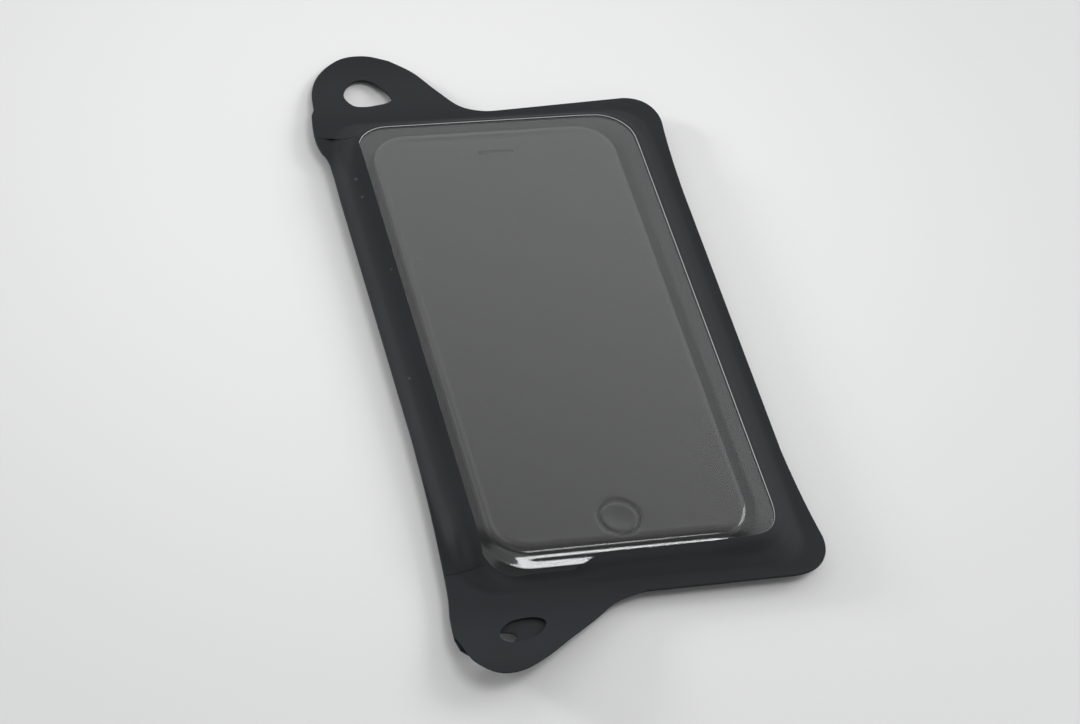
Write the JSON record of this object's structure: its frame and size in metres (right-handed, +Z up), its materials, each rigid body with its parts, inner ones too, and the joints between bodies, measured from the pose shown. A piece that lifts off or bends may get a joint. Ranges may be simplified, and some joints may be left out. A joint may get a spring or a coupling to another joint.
{
  "type": "waterproof phone pouch",
  "caption": "Flat black waterproof pouch with a large clear window, a press closure along one side, lugs with cord holes, and a handset held inside.",
  "frame": {"origin": "centre of the bounding box, at the height of the back panel's flat underside", "axes": "+Y along the handset, from its round key towards its speaker slot; +Z up out of the window; +X to the right of a person reading the window, with the mouth and both lugs on the -X side"},
  "size_m": [0.0972, 0.2024, 0.0086],
  "materials": {
    "black_sheet": "matte coated sheet with a fine weave",
    "clear_film": "clear glossy soft film",
    "closure_profile": "smooth extruded plastic",
    "dark_metal": "dark anodised, satin",
    "black_glass": "polished black glass",
    "key_face": "smooth dished face",
    "key_ring": "dark satin steel",
    "speaker_mesh": "fine dark mesh",
    "lens": "small dark lens"
  },
  "bodies": {
    "pouch": {"back_panel": "black_sheet", "front_frame": "black_sheet", "window_film": "clear_film", "closure_strip": "black_sheet", "closure_rib": "closure_profile", "closure_channel": "closure_profile", "phone_housing": "dark_metal", "phone_glass": "black_glass", "phone_home_ring": "key_ring", "phone_speaker_mesh": "speaker_mesh", "phone_front_lens": "lens"},
    "home_key": {"phone_home_key": "key_face"}
  },
  "joints": [
    {"name": "home_key_press", "type": "slide", "parent": "pouch", "child": "home_key", "axis": [0, 0, -1], "range_m": [0, 0.0003], "stiffness_N_per_m": 2000}
  ]
}
